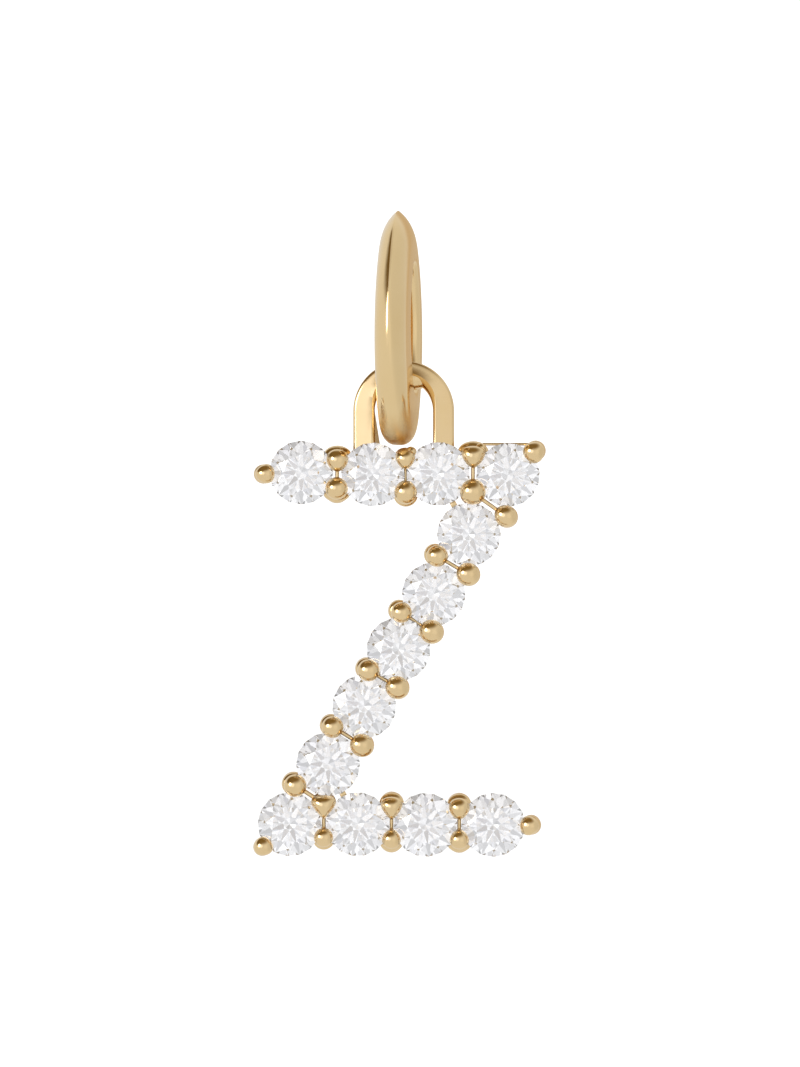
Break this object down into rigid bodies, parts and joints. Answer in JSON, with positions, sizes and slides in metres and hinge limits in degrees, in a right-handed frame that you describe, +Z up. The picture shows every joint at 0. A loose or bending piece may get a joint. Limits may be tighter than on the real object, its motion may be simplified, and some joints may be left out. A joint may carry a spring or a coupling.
{
  "type": "initial pendant",
  "caption": "Letter Z pendant of round cut stones in shared prongs, hung by a stirrup loop from an oval knife-edge bail ring.",
  "frame": {"origin": "where a chain bears inside the top of the bail ring", "axes": "+Z up, the stones face -Y, +X to the viewer's right"},
  "size_m": [0.0068, 0.004, 0.0149],
  "materials": {
    "bail_gold": "polished",
    "setting_gold": "polished",
    "stone": "facet cut and polished"
  },
  "bodies": {
    "bail_ring": {"bail": "bail_gold"},
    "letter_drop": {"setting": "setting_gold", "stone_01": "stone", "stone_02": "stone", "stone_03": "stone", "stone_04": "stone", "stone_05": "stone", "stone_06": "stone", "stone_07": "stone", "stone_08": "stone", "stone_09": "stone", "stone_10": "stone", "stone_11": "stone", "stone_12": "stone", "stone_13": "stone"}
  },
  "joints": [
    {"name": "drop_swing", "type": "hinge", "parent": "bail_ring", "child": "letter_drop", "pos_m": [0, 0, -0.00266], "axis": [1, 0, 0], "range_deg": [-40, 40]}
  ]
}
